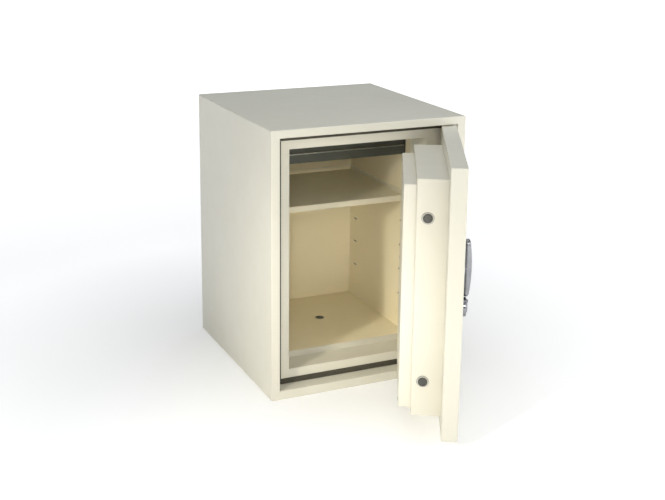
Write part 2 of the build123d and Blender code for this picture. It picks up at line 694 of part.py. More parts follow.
# ---------------------------------------------------------------- door: key lock
with BuildPart() as lock_housing:
    with BuildSketch(door_face(n1 - 5)):
        with Locations((lock_z, spindle_s)):
            Circle(11)
    extrude(amount=n0 + plate_up - (n1 - 5))
    with BuildSketch(door_face(n0 + plate_up)):
        with Locations((lock_z, spindle_s)):
            Circle(21.5)
    extrude(amount=lock_up - plate_up)
    fillet(lock_housing.faces().sort_by(along_n)[-1].edges(), radius=3.0)
    with BuildSketch(door_face(n1 - 6)):
        with Locations((lock_z, spindle_s)):
            Circle(8.06)
    extrude(amount=80, mode=Mode.SUBTRACT)
lock_housing.part.label = "lock_housing"

with BuildPart() as lock_cylinder:
    with BuildSketch(door_face(-40)):
        with Locations((lock_z, spindle_s)):
            Circle(8)
    extrude(amount=40 + n0 + lock_up - 0.4)
    with BuildSketch(door_face(-57)):
        with Locations((lock_z, spindle_s)):
            Circle(5)
    extrude(amount=17)
    with BuildSketch(door_face(-57)):
        with Locations((lock_z, spindle_s)):
            Circle(12.2)
    extrude(amount=3)
    with BuildSketch(door_face(-65)):
        with Locations((lock_z - lock_throw / 2, spindle_s + lock_throw / 2)):
            Circle(2)
    extrude(amount=8)
    with BuildSketch(door_face(n0 + lock_up - 22)):
        with Locations((lock_z, spindle_s)):
            Rectangle(9.0, 2.4)
    extrude(amount=30, mode=Mode.SUBTRACT)
lock_cylinder.part.label = "lock_cylinder"

with BuildPart() as lock_case:
    with BuildSketch(door_face(-66)):
        rect(lock_z - 30, 323, lock_z + 30, 361)
    extrude(amount=66 + n1 - 3)
    with BuildSketch(door_face(-66)):
        rect(lock_z - 27.5, 325, lock_z + 27.5, 359)
    extrude(amount=66 + n1 - 5.5, mode=Mode.SUBTRACT)
    with BuildSketch(door_face(-50)):
        with Locations((lock_z, spindle_s)):
            Circle(11)
    extrude(amount=30, mode=Mode.SUBTRACT)
    with BuildSketch(door_face(-66.5)):
        rect(lock_z + 26, 339.5, lock_z + 32, 350.5)
    extrude(amount=7, mode=Mode.SUBTRACT)
lock_case.part.label = "lock_case"

with BuildPart() as lock_case_cover:
    with BuildSketch(door_face(-68)):
        rect(lock_z - 30, 323, lock_z + 30, 361)
    extrude(amount=2)
lock_case_cover.part.label = "lock_case_cover"

with BuildPart() as lock_bolt:
    with BuildSketch(door_face(-65)):
        rect(lock_z - 19, 334, lock_z + 9, 358.6)
        rect(lock_z + 9, 340, lock_z + 29, 350)
        rect(
            lock_z - lock_throw / 2 - 2.8, spindle_s + lock_throw / 2 - 2.8,
            lock_z - lock_throw / 2 + 2.8, spindle_s + crank_reach + 2.7, mode=Mode.SUBTRACT,
        )
    extrude(amount=4.5)
lock_bolt.part.label = "lock_bolt"

with BuildPart() as key_cover:
    with BuildSketch(door_face(n0 + lock_up + 0.4)):
        with Locations((lock_z + 12, spindle_s)):
            Circle(5)
        with Locations((lock_z - 1, spindle_s)):
            Circle(10.5)
        rect(lock_z - 1, spindle_s - 5, lock_z + 12, spindle_s + 5)
        with Locations((lock_z + 12, spindle_s)):
            Circle(2.06, mode=Mode.SUBTRACT)
    extrude(amount=1.8)
key_cover.part.label = "key_cover"

with BuildPart() as cover_rivet:
    with BuildSketch(door_face(n0 + lock_up)):
        with Locations((lock_z + 12, spindle_s)):
            Circle(2)
    extrude(amount=2.6)
    with BuildSketch(door_face(n0 + lock_up + 2.6)):
        with Locations((lock_z + 12, spindle_s)):
            Circle(3.6)
    extrude(amount=1.0)
    fillet(cover_rivet.faces().sort_by(along_n)[-1].edges(), radius=0.7)
cover_rivet.part.label = "cover_rivet"

# ---------------------------------------------------------------- export
pieces = [
    outer_casing, base_plate, back_panel, back_screws, throat_frame, inner_liner, keeper_plate, anchor_sleeve,
    body_hinge_blocks, hinge_pins, hinge_washers, door_seal, body_insulation, shelf, shelf_clips, filing_rails,
    rail_brackets, door_pan, door_hinge_blocks, door_insulation, hard_plate, mechanism_plate, mid_step_casing,
    inner_step_casing, inner_step_board, step_screws, dog_bar, bolt_collars, bolt_bar, bolts, guide_studs,
    spindle_bush, spindle, cam_disc, handle_backplate, handle_lever, lock_housing, lock_cylinder, lock_case,
    lock_case_cover, lock_bolt, key_cover, cover_rivet,
]
for piece in pieces:
    export_step(piece.part, f"parts/{piece.part.label}.step")
    print(piece.part.label, len(piece.part.solids()), round(piece.part.volume))
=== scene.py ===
import bpy
import bmesh
import json
import math
from mathutils import Matrix, Vector, noise


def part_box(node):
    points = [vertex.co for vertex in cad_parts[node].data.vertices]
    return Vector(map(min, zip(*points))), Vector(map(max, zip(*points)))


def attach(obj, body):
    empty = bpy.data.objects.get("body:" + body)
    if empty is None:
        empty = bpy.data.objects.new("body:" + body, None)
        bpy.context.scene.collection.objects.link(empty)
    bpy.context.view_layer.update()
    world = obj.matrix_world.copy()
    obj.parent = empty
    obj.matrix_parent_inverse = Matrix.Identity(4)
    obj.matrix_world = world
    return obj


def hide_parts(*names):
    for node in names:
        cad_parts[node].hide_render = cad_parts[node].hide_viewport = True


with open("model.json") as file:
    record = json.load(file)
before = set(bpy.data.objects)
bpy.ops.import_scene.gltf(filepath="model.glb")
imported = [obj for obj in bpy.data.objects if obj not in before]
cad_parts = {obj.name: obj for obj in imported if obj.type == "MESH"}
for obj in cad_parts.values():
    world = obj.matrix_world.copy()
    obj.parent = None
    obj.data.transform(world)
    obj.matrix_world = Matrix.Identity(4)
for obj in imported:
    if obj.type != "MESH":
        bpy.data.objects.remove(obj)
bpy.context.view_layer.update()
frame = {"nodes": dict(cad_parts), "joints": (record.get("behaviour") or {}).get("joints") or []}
nodes = frame["nodes"]

MM = 0.001

# ------------------------------------------------------------------ the door's own frame
# s runs from the hinge axis to the free edge, n is the outward normal of the door's face (mm)
hinge = next(j for j in frame["joints"] if j["name"] == "door_hinge")
swing = math.radians(62.7)
pivot = Vector((220.0, -248.0, 0.0)) * MM
u = Vector((-math.cos(swing), -math.sin(swing), 0.0))
n = Vector((math.sin(swing), -math.cos(swing), 0.0))
up = Vector((0.0, 0.0, 1.0))
n0 = 7.0


def at(s, level, z):
    """Point of the door's frame, in mm, as a point of the row frame, in metres."""
    return pivot + u * (s * MM) + n * (level * MM) + up * (z * MM)


# ------------------------------------------------------------------ node graphs
class Graph:
    def __init__(self, name, **const):
        self.m = bpy.data.materials.new(name)
        self.m.use_nodes = True
        self.t = self.m.node_tree
        self.t.nodes.clear()
        self.out = self.node("ShaderNodeOutputMaterial")
        self.b = self.node("ShaderNodeBsdfPrincipled")
        self.t.links.new(self.b.outputs[0], self.out.inputs[0])
        self.co = self.node("ShaderNodeTexCoord").outputs["Object"]
        for k, v in const.items():
            self.b.inputs[k.replace("_", " ")].default_value = v

    def node(self, kind, **props):
        x = self.t.nodes.new(kind)
        for k, v in props.items():
            setattr(x, k, v)
        return x

    def put(self, socket, value):
        if isinstance(value, bpy.types.NodeSocket):
            self.t.links.new(value, socket)
        elif isinstance(value, (tuple, list)) and len(value) == 3 and socket.type == "RGBA":
            socket.default_value = (*value, 1.0)
        else:
            socket.default_value = value

    def noise(self, scale, detail=2.0, rough=0.5, co=None, distort=0.0):
        x = self.node("ShaderNodeTexNoise")
        self.put(x.inputs["Vector"], co or self.co)
        x.inputs["Scale"].default_value = scale
        x.inputs["Detail"].default_value = detail
        x.inputs["Roughness"].default_value = rough
        x.inputs["Distortion"].default_value = distort
        return x.outputs["Fac"]

    def cells(self, scale, co=None, feature="F1"):
        x = self.node("ShaderNodeTexVoronoi", feature=feature)
        self.put(x.inputs["Vector"], co or self.co)
        x.inputs["Scale"].default_value = scale
        return x

    def stretch(self, sx, sy, sz, rot=(0.0, 0.0, 0.0)):
        x = self.node("ShaderNodeMapping")
        self.put(x.inputs["Vector"], self.co)
        x.inputs["Rotation"].default_value = rot
        x.inputs["Scale"].default_value = (sx, sy, sz)
        return x.outputs[0]

    def range(self, v, a, b, c, d):
        x = self.node("ShaderNodeMapRange")
        self.put(x.inputs[0], v)
        for i, k in enumerate((a, b, c, d)):
            x.inputs[i + 1].default_value = k
        return x.outputs[0]

    def math(self, op, a, b=0.0):
        x = self.node("ShaderNodeMath", operation=op)
        self.put(x.inputs[0], a)
        self.put(x.inputs[1], b)
        return x.outputs[0]

    def mix(self, fac, a, b, blend="MIX"):
        x = self.node("ShaderNodeMix", data_type="RGBA", blend_type=blend)
        self.put(x.inputs[0], fac)
        self.put(x.inputs[6], a)
        self.put(x.inputs[7], b)
        return x.outputs[2]

    def bevel(self, radius):
        x = self.node("ShaderNodeBevel", samples=3)
        x.inputs[0].default_value = radius
        return x.outputs[0]

    def edge(self, rounded, start=0.02, end=0.12):
        """1 on sharp edges, 0 on flat faces."""
        g = self.node("ShaderNodeNewGeometry")
        d = self.node("ShaderNodeVectorMath", operation="DOT_PRODUCT")
        self.put(d.inputs[0], rounded)
        self.put(d.inputs[1], g.outputs["Normal"])
        return self.range(d.outputs["Value"], 1.0 - start, 1.0 - end, 0.0, 1.0)

    def bump(self, height, distance, strength=1.0, base=None):
        x = self.node("ShaderNodeBump")
        self.put(x.inputs["Height"], height)
        x.inputs["Distance"].default_value = distance
        x.inputs["Strength"].default_value = strength
        if base is not None:
            self.put(x.inputs["Normal"], base)
        return x.outputs[0]

    def done(self, color, rough, normal=None):
        self.put(self.b.inputs["Base Color"], color)
        self.put(self.b.inputs["Roughness"], rough)
        if normal is not None:
            self.put(self.b.inputs["Normal"], normal)
        return self.m


def paint(name, light, shade, worn, rough=(0.34, 0.5), peel=0.00005, chips=0.25, radius=0.0010, dust=0.0, coat=0.12):
    """Stoved powder coat: clouding, orange peel, fine flecks, and edges rubbed through here and there."""
    g = Graph(name, Coat_Weight=coat, Coat_Roughness=0.22, Specular_IOR_Level=0.45)
    cloud = g.noise(3.2, 4.0, 0.55)
    fine = g.noise(240.0, 3.0, 0.6)
    base = g.mix(g.range(cloud, 0.3, 0.72, 0.0, 1.0), light, shade)
    base = g.mix(g.range(fine, 0.55, 0.78, 0.0, 0.10), base, shade)
    speck = g.cells(420.0)
    base = g.mix(g.range(speck.outputs["Distance"], 0.06, 0.16, 0.22, 0.0), base, worn)
    rounded = g.bevel(radius)
    edge = g.edge(rounded)
    patchy = g.range(g.noise(46.0, 5.0, 0.65), 0.52, 0.66, 0.0, 1.0)
    rub = g.math("MULTIPLY", g.math("MULTIPLY", edge, patchy), chips)
    base = g.mix(rub, base, worn)
    if dust:
        z = g.node("ShaderNodeSeparateXYZ")
        g.put(z.inputs[0], g.co)
        low = g.range(z.outputs[2], 0.0, 0.12, dust, 0.0)
        base = g.mix(g.math("MULTIPLY", low, g.range(g.noise(14.0, 4.0), 0.35, 0.7, 0.0, 1.0)), base, (0.42, 0.37, 0.27))
    r = g.range(g.noise(26.0, 4.0, 0.6), 0.25, 0.75, *rough)
    r = g.math("ADD", r, g.range(g.noise(5.0, 2.0), 0.35, 0.7, -0.03, 0.04))
    peel_h = g.math("ADD", g.noise(620.0, 2.0, 0.45), g.math("MULTIPLY", g.noise(150.0, 1.0), 0.6))
    return g.done(base, r, g.bump(peel_h, peel, 0.8, rounded))


def steel(name, light, shade, rough=(0.22, 0.36), grain=None, bump=0.00002, tarnish=0.2, tarnish_tint=None, radius=0.0005, metal=1.0, coat=0.0):
    """Bare or plated metal: a drawn or brushed grain, mottling, faint scratches and dull edges."""
    g = Graph(name, Metallic=metal, Coat_Weight=coat)
    co = g.stretch(*grain) if grain else g.co
    line = g.noise(900.0, 3.0, 0.6, co)
    mott = g.noise(38.0, 5.0, 0.6)
    base = g.mix(g.range(mott, 0.3, 0.7, 0.0, 1.0), light, shade)
    base = g.mix(g.range(line, 0.35, 0.7, 0.0, 0.35), base, shade)
    rounded = g.bevel(radius)
    edge = g.edge(rounded)
    base = g.mix(g.math("MULTIPLY", edge, 0.35), base, light)
    if tarnish:
        spots = g.range(g.noise(90.0, 6.0, 0.7, distort=0.6), 0.58, 0.74, 0.0, tarnish)
        base = g.mix(spots, base, tarnish_tint or tuple(c * 0.55 for c in shade))
    r = g.range(line, 0.3, 0.7, *rough)
    r = g.math("ADD", r, g.range(mott, 0.3, 0.7, -0.03, 0.05))
    scratch = g.range(g.noise(300.0, 2.0, 0.5, g.stretch(0.06, 1.0, 1.0, (0.3, 0.5, 0.9))), 0.60, 0.63, 0.0, 1.0)
    h = g.math("ADD", line, g.math("MULTIPLY", scratch, -0.8))
    return g.done(base, r, g.bump(h, bump, 0.8, rounded))


def soft(name, light, shade, rough=(0.6, 0.8), scale=500.0, bump=0.0001, sheen=0.0, ribs=None):
    """Rubber, nylon or board: a dull surface with fine grain and a little bloom."""
    g = Graph(name, Sheen_Weight=sheen, Specular_IOR_Level=0.35)
    mott = g.noise(24.0, 5.0, 0.65)
    grain = g.noise(scale, 3.0, 0.6)
    base = g.mix(g.range(mott, 0.32, 0.7, 0.0, 1.0), light, shade)
    base = g.mix(g.range(grain, 0.45, 0.75, 0.0, 0.35), base, shade)
    rounded = g.bevel(0.0006)
    r = g.range(grain, 0.3, 0.7, *rough)
    h = grain
    if ribs:
        h = g.math("ADD", grain, g.math("MULTIPLY", g.noise(ribs, 1.0), 0.7))
    return g.done(base, r, g.bump(h, bump, 0.9, rounded))


ivory = paint("ivory_powder_coat", (0.722, 0.702, 0.606), (0.682, 0.658, 0.556), (0.50, 0.47, 0.39), dust=0.10)
step_ivory = paint("step_powder_coat", (0.722, 0.698, 0.600), (0.682, 0.652, 0.548), (0.48, 0.45, 0.36), rough=(0.36, 0.5))
# liner paint, lighter and yellower than the outer ivory: painted light standing in for the warm bounce and fill light
# inside the cavity
liner_tan_painted_fill = paint("liner_powder_coat_painted_fill", (0.880, 0.800, 0.585), (0.850, 0.765, 0.540), (0.40, 0.36, 0.26), rough=(0.42, 0.58), peel=0.00007, chips=0.2)
# shelf paint, darker and greyer than the liner: painted shade for the shadow lying on the shelf top
shelf_tan_painted_shade = paint("shelf_powder_coat_painted_shade", (0.760, 0.708, 0.535), (0.720, 0.665, 0.490), (0.42, 0.39, 0.30), rough=(0.30, 0.44), radius=0.0008)
# pale, glossy bead colour: a painted highlight along the shelf's raised edges
edge_painted_highlight = paint("shelf_edge_painted_highlight", (0.93, 0.90, 0.74), (0.90, 0.86, 0.70), (0.55, 0.52, 0.42), rough=(0.22, 0.34), peel=0.00003, radius=0.0004, coat=0.3)
# near-black on the filing rails and brackets: partly the rails' own dark paint, partly painted shade for the deep
# shadow between the rails and the cavity's ceiling
rail_dark_and_painted_shade = paint("rail_black_paint_and_painted_shade", (0.075, 0.080, 0.064), (0.052, 0.056, 0.045), (0.22, 0.22, 0.19), rough=(0.30, 0.44), chips=0.6, radius=0.0008)
# near-black bolt rings: painted shadow, the shade in the gap round each bolt collar
ring_painted_shadow = soft("bolt_ring_painted_shadow", (0.045, 0.044, 0.040), (0.028, 0.027, 0.025), rough=(0.42, 0.6), scale=420.0, bump=0.00005)
seal_mat = soft("heat_seal_graphite", (0.085, 0.078, 0.056), (0.055, 0.050, 0.036), rough=(0.55, 0.8), scale=700.0, bump=0.00016, sheen=0.05, ribs=180.0)
zinc = steel("zinc_plated_steel", (0.62, 0.62, 0.58), (0.44, 0.45, 0.43), rough=(0.26, 0.42), tarnish=0.3, tarnish_tint=(0.40, 0.36, 0.24))
# lighter steel for the rail hems: a painted highlight on the black rails' rolled top edge
hem_painted_highlight = steel("rail_hem_painted_highlight_steel", (0.46, 0.47, 0.44), (0.30, 0.31, 0.29), rough=(0.24, 0.36), grain=(0.05, 1.0, 1.0), tarnish=0.2)
turned = steel("turned_bolt_steel", (0.15, 0.146, 0.132), (0.085, 0.083, 0.076), rough=(0.28, 0.42), grain=(1.0, 1.0, 0.05), bump=0.00004, tarnish=0.15)
collar_pale = soft("bolt_bush_nylon", (0.60, 0.585, 0.52), (0.50, 0.485, 0.42), rough=(0.42, 0.6), scale=420.0, bump=0.00005)
chrome = steel("satin_chrome", (0.37, 0.375, 0.39), (0.25, 0.255, 0.27), rough=(0.08, 0.16), grain=(1.0, 1.0, 0.08), bump=0.000012, tarnish=0.06)
brass = steel("lock_brass", (0.72, 0.53, 0.24), (0.56, 0.39, 0.15), rough=(0.20, 0.34), tarnish=0.25, tarnish_tint=(0.30, 0.20, 0.07))
nylon = soft("washer_nylon", (0.62, 0.60, 0.54), (0.50, 0.48, 0.43), rough=(0.4, 0.6), scale=380.0, bump=0.00005)
plaster = soft("fire_board", (0.50, 0.49, 0.46), (0.38, 0.37, 0.34), rough=(0.85, 0.97), scale=260.0, bump=0.0006, ribs=60.0)

looks = {
    ivory: ["outer_casing", "base_plate", "back_panel", "door_pan"],
    step_ivory: ["mid_step_casing", "inner_step_casing", "throat_frame"],
    liner_tan_painted_fill: ["inner_liner", "shelf_clips"],
    shelf_tan_painted_shade: ["shelf"],
    rail_dark_and_painted_shade: ["filing_rails", "rail_brackets"],
    seal_mat: ["door_seal"],
    zinc: [
        "back_screws", "keeper_plate", "anchor_sleeve", "body_hinge_blocks", "hinge_pins", "door_hinge_blocks",
        "hard_plate", "mechanism_plate", "step_screws", "dog_bar", "bolt_bar", "guide_studs", "cam_disc", "spindle",
        "lock_case", "lock_case_cover",
    ],
    turned: ["bolts"],
    collar_pale: ["bolt_collars"],
    chrome: ["handle_backplate", "handle_lever", "lock_housing", "key_cover", "cover_rivet"],
    brass: ["spindle_bush", "lock_cylinder", "lock_bolt"],
    nylon: ["hinge_washers"],
    plaster: ["body_insulation", "door_insulation", "inner_step_board"],
}
for finish, names in looks.items():
    for name in names:
        slots = nodes[name].data.materials
        if len(slots) == 0:
            slots.append(finish)
        for i in range(len(slots)):
            slots[i] = finish


# ------------------------------------------------------------------ mesh helpers
def make(name, bm, finish, slot_name, body, *nodes_replaced, subdiv=0, smooth=40.0):
    bmesh.ops.recalc_face_normals(bm, faces=bm.faces)
    me = bpy.data.meshes.new(name)
    bm.to_mesh(me)
    bm.free()
    o = bpy.data.objects.new(name, me)
    bpy.context.scene.collection.objects.link(o)
    me.materials.append(finish)
    for p in me.polygons:
        p.use_smooth = True
    me.set_sharp_from_angle(angle=math.radians(smooth))
    if subdiv:
        m = o.modifiers.new("subdivision", "SUBSURF")
        m.levels = m.render_levels = subdiv
    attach(o, body)
    if nodes_replaced:
        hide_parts(*nodes_replaced)
    return o


def loft(bm, rings, caps=True):
    rows = [[bm.verts.new(p) for p in r] for r in rings]
    for a, b in zip(rows, rows[1:]):
        for i in range(len(a)):
            j = (i + 1) % len(a)
            bm.faces.new((a[i], a[j], b[j], b[i]))
    if caps:
        bm.faces.new(rows[0])
        bm.faces.new(rows[-1])
    return rows


def lathe(bm, origin, axis, ref, profile, seg=72, wobble=None):
    """Turned solid: profile is a list of (radius, height) in mm; a radius of 0 closes it with a point."""
    side_dir = axis.cross(ref)
    rows = []
    for r, h in profile:
        c = origin + axis * (h * MM)
        if r == 0:
            rows.append([bm.verts.new(c)])
            continue
        row = []
        for k in range(seg):
            a = 2 * math.pi * k / seg
            rr = r + (wobble(a, r, h) if wobble else 0.0)
            row.append(bm.verts.new(c + (ref * math.cos(a) + side_dir * math.sin(a)) * (rr * MM)))
        rows.append(row)
    for a, b in zip(rows, rows[1:]):
        for i in range(seg):
            j = (i + 1) % seg
            if len(a) == 1:
                bm.faces.new((a[0], b[i], b[j]))
            elif len(b) == 1:
                bm.faces.new((a[i], a[j], b[0]))
            else:
                bm.faces.new((a[i], a[j], b[j], b[i]))


# ------------------------------------------------------------------ handle: arched bar on a flared hub
spindle_s, spindle_z, lock_z = 345.0, 384.0, 295.5
bm = bmesh.new()
stations = [-65, -64.6, -63.6, -61.8, -59, -55, -50, -43, -34, -24, -12, 0, 12, 24, 34, 43, 50, 55, 59, 61.8, 63.6, 64.6, 65]
rings = []
for t in stations:
    a = abs(t)
    outer = 22.6 - 2.7 * (t / 47.0) ** 2
    inner = 4.4 + 0.9 * math.cos(math.pi * t / 65.0) * -1.0
    w = 12.0 - 1.2 * (a / 65.0) ** 2
    if a > 53.0:
        w *= math.sqrt(max(0.0, 1.0 - ((a - 53.0) / 12.0) ** 2)) * 0.985 + 0.015
    h = (outer - inner) / 2
    if a > 58.0:
        h *= math.sqrt(max(0.0, 1.0 - ((a - 58.0) / 7.0) ** 2)) * 0.97 + 0.03
    mid = (outer + inner) / 2
    ring = []
    for k in range(40):
        ph = 2 * math.pi * k / 40
        cx = math.copysign(abs(math.cos(ph)) ** (2 / 2.7), math.cos(ph))
        cy = math.copysign(abs(math.sin(ph)) ** (2 / 2.3), math.sin(ph))
        ring.append(at(spindle_s + w * cx, n0 + mid + h * cy, spindle_z + t))
    rings.append(ring)
loft(bm, rings)
lathe(
    bm, at(spindle_s, n0, spindle_z), n, up,
    [(0, 3.3), (17.2, 3.3), (19.0, 3.6), (19.0, 5.4), (18.6, 6.6), (17.0, 7.6), (14.6, 8.6), (12.8, 9.8), (11.6, 11.4), (11.2, 13.0), (0, 13.0)],
)
make("arched_handle", bm, chrome, "handle_chrome", "handle", "handle_lever", subdiv=1)

# ------------------------------------------------------------------ handle plate with a stepped border
bm = bmesh.new()


def rounded_rect(cz, cs, hz, hs, r, level):
    pts = []
    for qz, qs, a0 in ((1, 1, 0.0), (-1, 1, 90.0), (-1, -1, 180.0), (1, -1, 270.0)):
        for k in range(13):
            a = math.radians(a0 + 90.0 * k / 12)
            pts.append((cz + qz * (hz - r) + r * math.cos(a), cs + qs * (hs - r) + r * math.sin(a)))
    return [at(s, level, z) for z, s in pts]


rings = []
for inset, h in ((0.4, 0.0), (0.0, 0.3), (0.0, 1.2), (0.25, 1.7), (0.8, 2.0), (2.6, 2.05), (3.0, 2.2), (3.25, 2.75), (3.7, 2.95), (4.4, 3.0)):
    rings.append(rounded_rect(361.5, spindle_s, 90.0 - inset, 28.0 - inset, 22.0 - inset, n0 + h))
loft(bm, rings)
make("stepped_handle_plate", bm, chrome, "handle_chrome", "door", "handle_backplate")

# ------------------------------------------------------------------ turned bolts
bm = bmesh.new()
for z in (141.0, 507.0):
    lathe(
        bm, at(0.0, -70.0, z), u, up,
        [(0, 366), (10.0, 366), (10.0, 378.0), (9.75, 378.3), (9.75, 379.3), (10.0, 379.6), (10.0, 401.2), (9.9, 401.7), (8.9, 402.9), (8.4, 403.25), (7.9, 403.4),
         (5.2, 403.4), (5.05, 403.25), (4.9, 403.4), (2.3, 403.4), (1.9, 403.2), (0, 401.9)],
    )
make("turned_bolts", bm, turned, "bolt_steel", "bolt_work", "bolts", smooth=30.0)

# dark rings where the bolts' collars meet the leaning face of the step: a painted shadow line standing in for the shade
# in the gap round each collar
bm = bmesh.new()
lean = (u * 66.0 - n * 4.5).normalized()
face_s = 401.0 - 4.5 * (41.6 / 66.0)
for z in (141.0, 507.0):
    loop = [(12.6 + 0.62 * math.cos(a), 0.12 + 0.62 * math.sin(a)) for a in [2 * math.pi * k / 14 for k in range(15)]]
    rows = []
    for k in range(72):
        b = 2 * math.pi * k / 72
        out = up * math.cos(b) + lean.cross(up) * math.sin(b)
        rows.append([bm.verts.new(at(face_s, -70.0, z) + out * (r * MM) + lean * (h * MM)) for r, h in loop[:-1]])
    for k in range(72):
        a_row, b_row = rows[k], rows[(k + 1) % 72]
        for i in range(14):
            j = (i + 1) % 14
            bm.faces.new((a_row[i], a_row[j], b_row[j], b_row[i]))
make("bolt_rings", bm, ring_painted_shadow, "seal", "door")

# ------------------------------------------------------------------ heat seal: four crowned strips, mitred at the corners
rim_x, rim_z0, rim_z1, seal_w = 228.4, 22.0, 629.0, 14.2
seal_y = -255.0 + 37.5
profile = [(0.15, 0.05), (0.2, 0.7), (0.55, 1.2), (1.2, 1.42), (2.0, 1.38), (2.7, 1.05), (3.4, 1.02), (7.1, 1.42), (10.8, 1.02), (11.5, 1.05), (12.2, 1.38), (13.0, 1.42), (13.65, 1.2), (14.0, 0.7), (14.05, 0.05)]
corners = [(-rim_x, rim_z0, 1, 1), (rim_x, rim_z0, -1, 1), (rim_x, rim_z1, -1, -1), (-rim_x, rim_z1, 1, -1)]
bm = bmesh.new()
for side in range(4):
    ax, az, aix, aiz = corners[side]
    bx, bz, bix, biz = corners[(side + 1) % 4]
    long_x = 1.0 if abs(bx - ax) > abs(bz - az) else 0.0
    rows = []
    steps = 48
    for k in range(steps + 1):
        f = k / steps
        gap = 0.35
        row = []
        for d, h in profile:
            dx = d * 17.6 / seal_w
            px, pz = ax + aix * dx, az + aiz * d
            qx, qz = bx + bix * dx, bz + biz * d
            length = math.hypot(qx - px, qz - pz)
            g0 = gap / length
            ff = g0 + (1 - 2 * g0) * f
            x, z = px + (qx - px) * ff, pz + (qz - pz) * ff
            wave = noise.noise(Vector((x * 0.021, z * 0.021, 3.7 * side))) * 0.10
            crown = 0.5 - 0.5 * math.cos(2 * math.pi * min(1.0, d / seal_w))
            hh = max(0.02, h + wave * crown * (1 if h > 0.1 else 0) - 0.03)
            row.append(bm.verts.new(Vector((x, seal_y - min(hh, 1.5), z)) * MM))
        rows.append(row)
    for a, b in zip(rows, rows[1:]):
        for i in range(len(profile) - 1):
            bm.faces.new((a[i], a[i + 1], b[i + 1], b[i]))
    # back and ends
    for a, b in zip(rows, rows[1:]):
        bm.faces.new((a[-1], a[0], b[0], b[-1]))
    bm.faces.new(rows[0])
    bm.faces.new(rows[-1])
make("crowned_heat_seal", bm, seal_mat, "seal", "safe_body", "door_seal", smooth=50.0)

# ------------------------------------------------------------------ bright steel hem along the filing rails: the lighter steel is a painted highlight on the rails' rolled top edge
bm = bmesh.new()
for d in (133.0, 418.0):
    rows = []
    for k in range(61):
        x = -177.5 + 333.0 * k / 60
        ring = []
        for q in range(18):
            a = 2 * math.pi * q / 18
            ring.append(Vector((x, -255.0 + d + 2.4 + 2.75 * math.cos(a), 556.6 + 2.3 * math.sin(a))) * MM)
        rows.append(ring)
    loft(bm, rows)
make("rail_hems", bm, hem_painted_highlight, "zinc_steel", "safe_body")

# ------------------------------------------------------------------ rolled bead along the shelf's raised sides and back, in a pale enamel that paints the highlight line along the shelf's raised edge
lo, hi = (Vector(c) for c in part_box("shelf"))
bm = bmesh.new()
inset, bead = 0.8 * MM, 1.35 * MM
corner = 2.0 * MM
front_end = lo.y + 14.6 * MM
route = [Vector((lo.x + inset, front_end + (hi.y - inset - corner - front_end) * k / 40, 0.0)) for k in range(41)]
route += [Vector((lo.x + inset + corner * (1 - math.cos(a)), hi.y - inset - corner + corner * math.sin(a), 0.0)) for a in [math.pi / 2 * k / 6 for k in range(1, 7)]]
route += [Vector((lo.x + inset + corner + (hi.x - lo.x - 2 * inset - 2 * corner) * k / 40, hi.y - inset, 0.0)) for k in range(1, 41)]
route += [Vector((hi.x - inset - corner + corner * math.sin(a), hi.y - inset - corner * (1 - math.cos(a)), 0.0)) for a in [math.pi / 2 * k / 6 for k in range(1, 7)]]
route += [Vector((hi.x - inset, hi.y - inset - corner - (hi.y - inset - corner - front_end) * k / 40, 0.0)) for k in range(1, 41)]
rings = []
for i, p in enumerate(route):
    along = (route[min(i + 1, len(route) - 1)] - route[max(i - 1, 0)]).normalized()
    across = Vector((-along.y, along.x, 0.0))
    size = bead * (0.45 if i in (0, len(route) - 1) else 1.0)
    rings.append([
        p + across * (size * 0.92 * math.cos(2 * math.pi * q / 16)) + Vector((0.0, 0.0, hi.z - 0.9 * MM + size * math.sin(2 * math.pi * q / 16)))
        for q in range(16)
    ])
loft(bm, rings)
make("shelf_rolled_edge", bm, edge_painted_highlight, "shelf_paint", "shelf")

# ------------------------------------------------------------------ domed screws with a cross recess
def screw_heads(name, spots, axis, ref, radius, height, body, *replaced):
    bm = bmesh.new()
    seg = 48

    def one(origin, turn):
        side_dir = axis.cross(ref)
        rows = []
        for r, h in ((1.0, 0.0), (1.0, 0.25), (0.97, 0.45), (0.88, 0.68), (0.74, 0.84), (0.60, 0.93), (0.48, 0.97), (0.36, 0.99), (0.24, 1.0), (0.12, 1.0)):
            row = []
            for k in range(seg):
                a = 2 * math.pi * k / seg
                x, y = r * math.cos(a), r * math.sin(a)
                hh = h
                ca, sa = math.cos(a + turn), math.sin(a + turn)
                across = min(abs(r * ca), abs(r * sa))
                reach = max(abs(r * ca), abs(r * sa))
                if reach < 0.60 and h > 0.0:
                    depth = max(0.0, min(1.0, (0.17 - across) / 0.05)) * max(0.0, min(1.0, (0.60 - reach) / 0.10))
                    hh = h - 0.75 * depth
                row.append(bm.verts.new(origin + (ref * y + side_dir * x) * (radius * MM) + axis * (hh * height * MM)))
            rows.append(row)
        for a, b in zip(rows, rows[1:]):
            for i in range(seg):
                j = (i + 1) % seg
                bm.faces.new((a[i], a[j], b[j], b[i]))
        bm.faces.new(rows[0])
        bm.faces.new(rows[-1])

    for i, p in enumerate(spots):
        one(p, 0.35 + 0.9 * i)
    return make(name, bm, zinc, "zinc_steel", body, *replaced, smooth=35.0)


in_s0, in_s1b, in_z0, in_z1 = 90.0, 386.8, 75.3, 576.5
n3 = n0 - 35.4 - 66.0 - 27.2
spots = [
    at(s, n3, z)
    for z in (in_z0 + 14, (in_z0 + in_z1) / 2, in_z1 - 14)
    for s in (in_s0 + 14, (in_s0 + in_s1b) / 2, in_s1b - 14)
    if (z, s) != ((in_z0 + in_z1) / 2, (in_s0 + in_s1b) / 2)
]
screw_heads("step_screw_heads", spots, -n, up, 4.2, 0.9, "door", "step_screws")
spots = [
    Vector((x, -255.0 + 508.0, z)) * MM
    for x in (-238, 0, 238) for z in (26, 324, 632) if (x, z) != (0, 324)
]
screw_heads("back_screw_heads", spots, Vector((0, 1, 0)), up, 4.5, 1.8, "safe_body", "back_screws")

